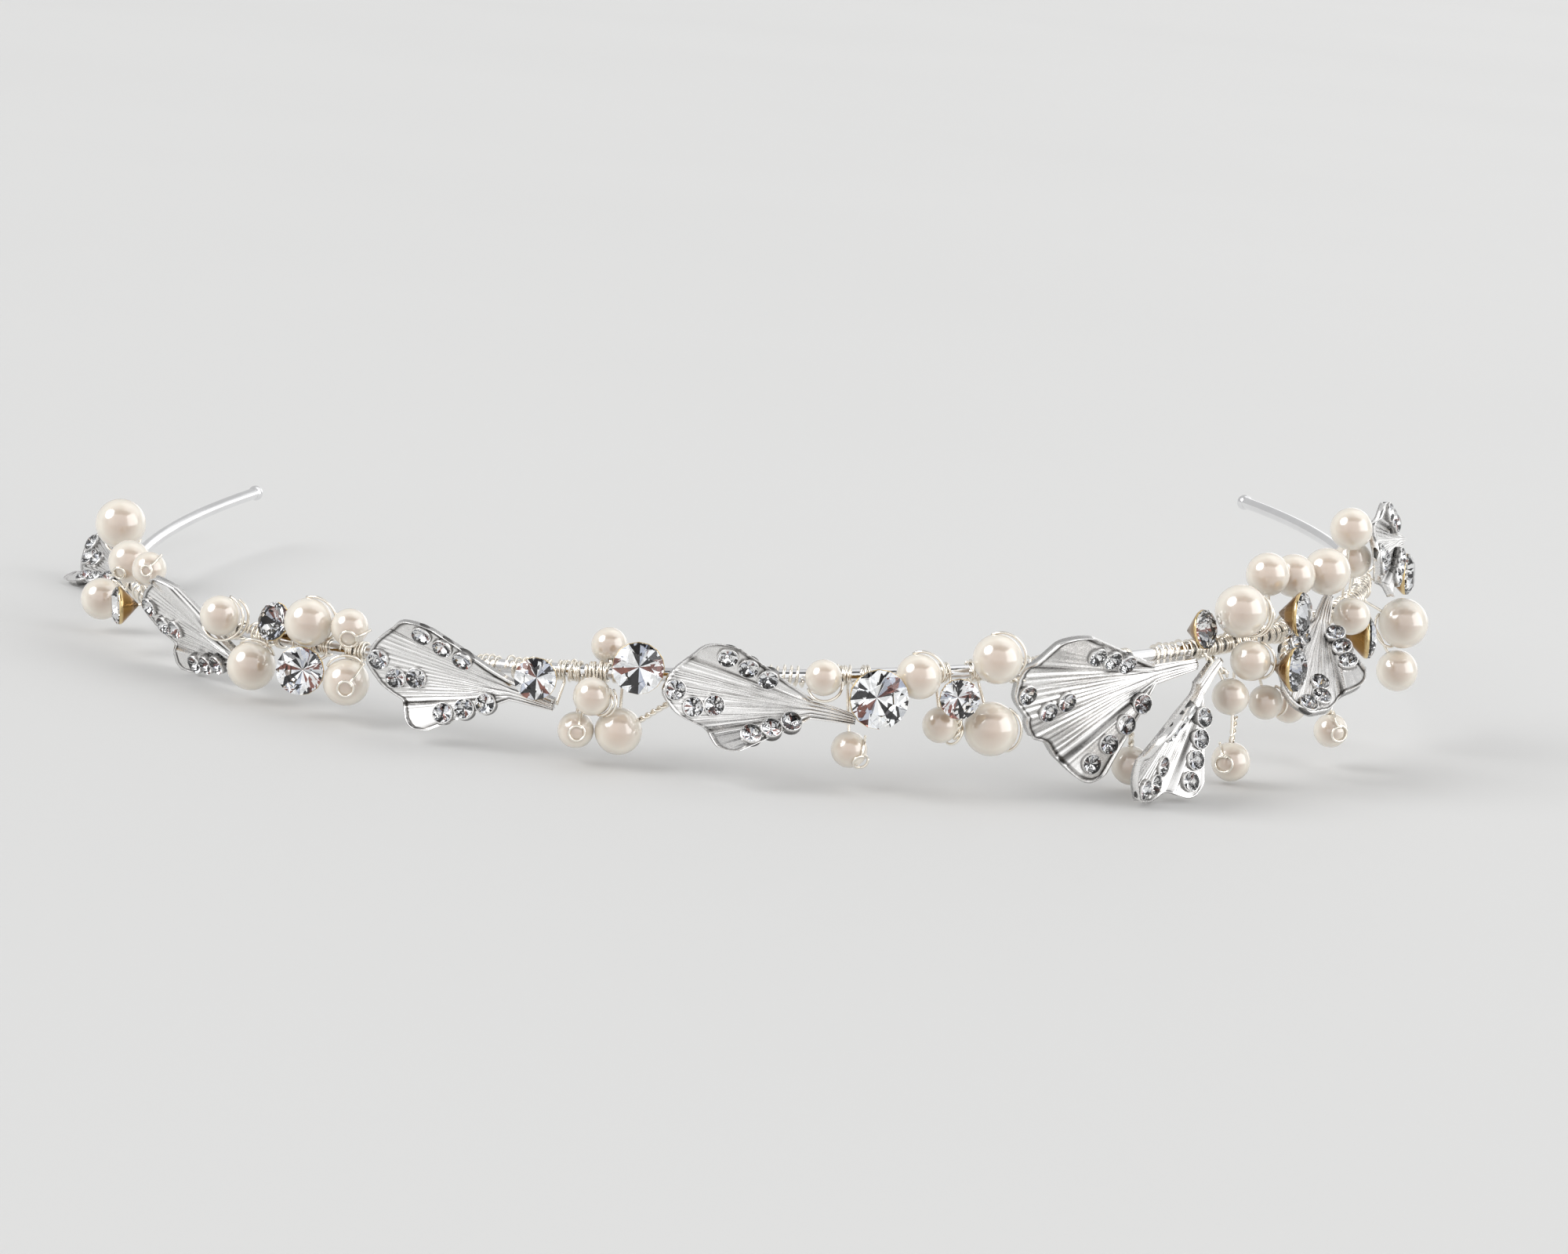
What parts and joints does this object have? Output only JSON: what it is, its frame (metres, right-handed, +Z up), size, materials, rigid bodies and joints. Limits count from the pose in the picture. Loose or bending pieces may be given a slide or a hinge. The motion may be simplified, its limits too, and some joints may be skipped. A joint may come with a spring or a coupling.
{
  "type": "bridal headband",
  "caption": "Slim U-shaped metal headband with cast fan leaves, round pearls and foil-backed cut stones carried on fine wire along its front.",
  "frame": {"origin": "centre of the footprint of the whole piece as it lies on its side, at the level of the surface it lies on", "axes": "+X across the head towards the right of the piece as its decorated front is seen, +Y from the crown towards the two tips, +Z up from the surface it lies on"},
  "size_m": [0.1658, 0.1292, 0.0299],
  "materials": {
    "band_metal": "polished",
    "leaf_metal": "bright cast metal, finely ribbed",
    "wire_metal": "bright drawn wire",
    "pearl": "ivory pearl lustre",
    "foiled_stone": "cut and clear, gold-brown foil on the back",
    "small_stone": "cut and clear"
  },
  "bodies": {
    "root": {"band": "band_metal", "wire_left": "wire_metal", "wire_right": "wire_metal", "leaf_stones_left": "small_stone", "leaf_stones_right": "small_stone", "pearl_01": "pearl", "pearl_02": "pearl", "pearl_03": "pearl", "pearl_04": "pearl", "pearl_05": "pearl", "pearl_06": "pearl", "pearl_07": "pearl", "pearl_08": "pearl", "pearl_09": "pearl", "pearl_10": "pearl", "pearl_11": "pearl", "pearl_12": "pearl", "pearl_13": "pearl", "pearl_14": "pearl", "pearl_15": "pearl", "pearl_16": "pearl", "pearl_17": "pearl", "pearl_18": "pearl", "pearl_19": "pearl", "pearl_20": "pearl", "pearl_21": "pearl", "pearl_22": "pearl", "pearl_23": "pearl", "pearl_24": "pearl", "pearl_25": "pearl", "pearl_26": "pearl", "pearl_27": "pearl", "pearl_28": "pearl", "pearl_29": "pearl", "pearl_30": "pearl", "pearl_31": "pearl", "pearl_32": "pearl", "pearl_33": "pearl", "pearl_34": "pearl", "pearl_35": "pearl", "chaton_01": "foiled_stone", "chaton_02": "foiled_stone", "chaton_03": "foiled_stone", "chaton_04": "foiled_stone", "chaton_05": "foiled_stone", "chaton_06": "foiled_stone", "chaton_07": "foiled_stone", "chaton_08": "foiled_stone", "chaton_09": "foiled_stone", "chaton_10": "foiled_stone", "chaton_11": "foiled_stone", "chaton_12": "foiled_stone", "leaf_a": "leaf_metal", "leaf_b": "leaf_metal", "leaf_c": "leaf_metal", "leaf_d": "leaf_metal", "leaf_e": "leaf_metal", "leaf_f": "leaf_metal", "leaf_g": "leaf_metal", "leaf_h": "leaf_metal"}
  },
  "joints": []
}
